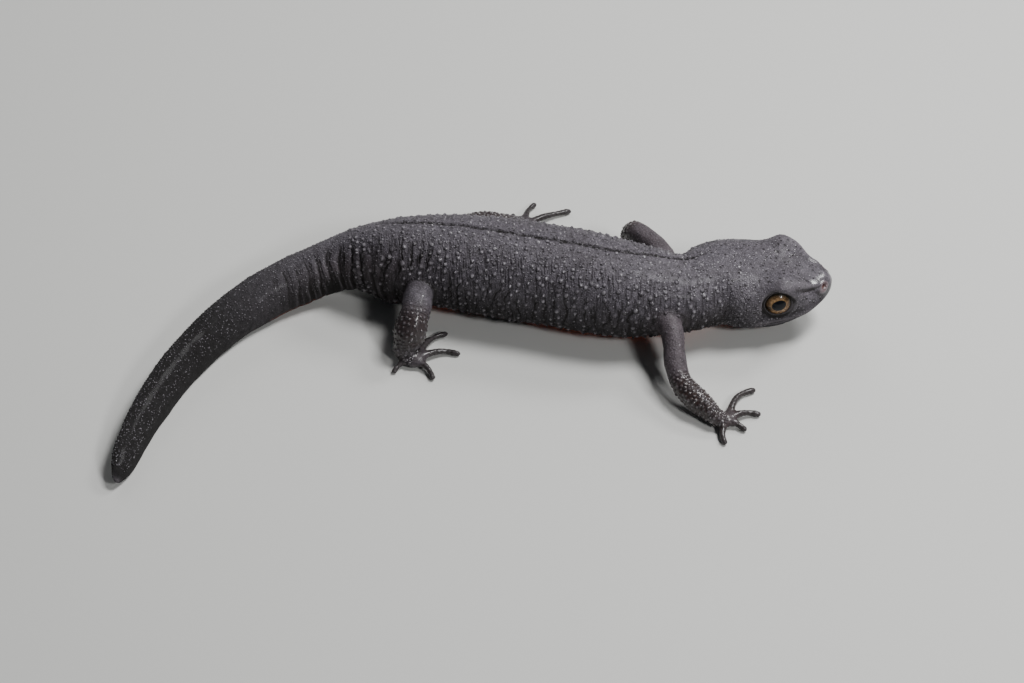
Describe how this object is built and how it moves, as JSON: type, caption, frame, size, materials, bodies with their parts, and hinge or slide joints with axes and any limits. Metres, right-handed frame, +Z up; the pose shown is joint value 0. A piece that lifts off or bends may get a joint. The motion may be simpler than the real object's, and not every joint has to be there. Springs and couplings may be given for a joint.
{
  "type": "newt",
  "caption": "Adult Japanese fire-bellied newt, life size, in mid stride: dark granular skin, red belly, blade-like tail swept to one side.",
  "frame": {"origin": "middle of the animal's footprint, on the surface it stands on", "axes": "+X towards the head, along the trunk; +Y to the animal's left; +Z up from the floor"},
  "size_m": [0.0898, 0.0514, 0.0124],
  "materials": {
    "skin": "damp granular black-brown skin with a red, black-blotched belly",
    "eye": "wet glossy eyeball with a bronze iris and black pupil"
  },
  "bodies": {
    "root": {"head": "skin", "lower_jaw": "skin", "neck": "skin", "trunk": "skin", "hips": "skin", "tail_base": "skin", "tail_middle": "skin", "tail_end": "skin", "right_upper_arm": "skin", "right_forearm": "skin", "right_hand": "skin", "left_upper_arm": "skin", "left_forearm": "skin", "left_hand": "skin", "right_thigh": "skin", "right_shank": "skin", "right_foot": "skin", "left_thigh": "skin", "left_shank": "skin", "left_foot": "skin", "right_eye": "eye", "left_eye": "eye"}
  },
  "joints": []
}
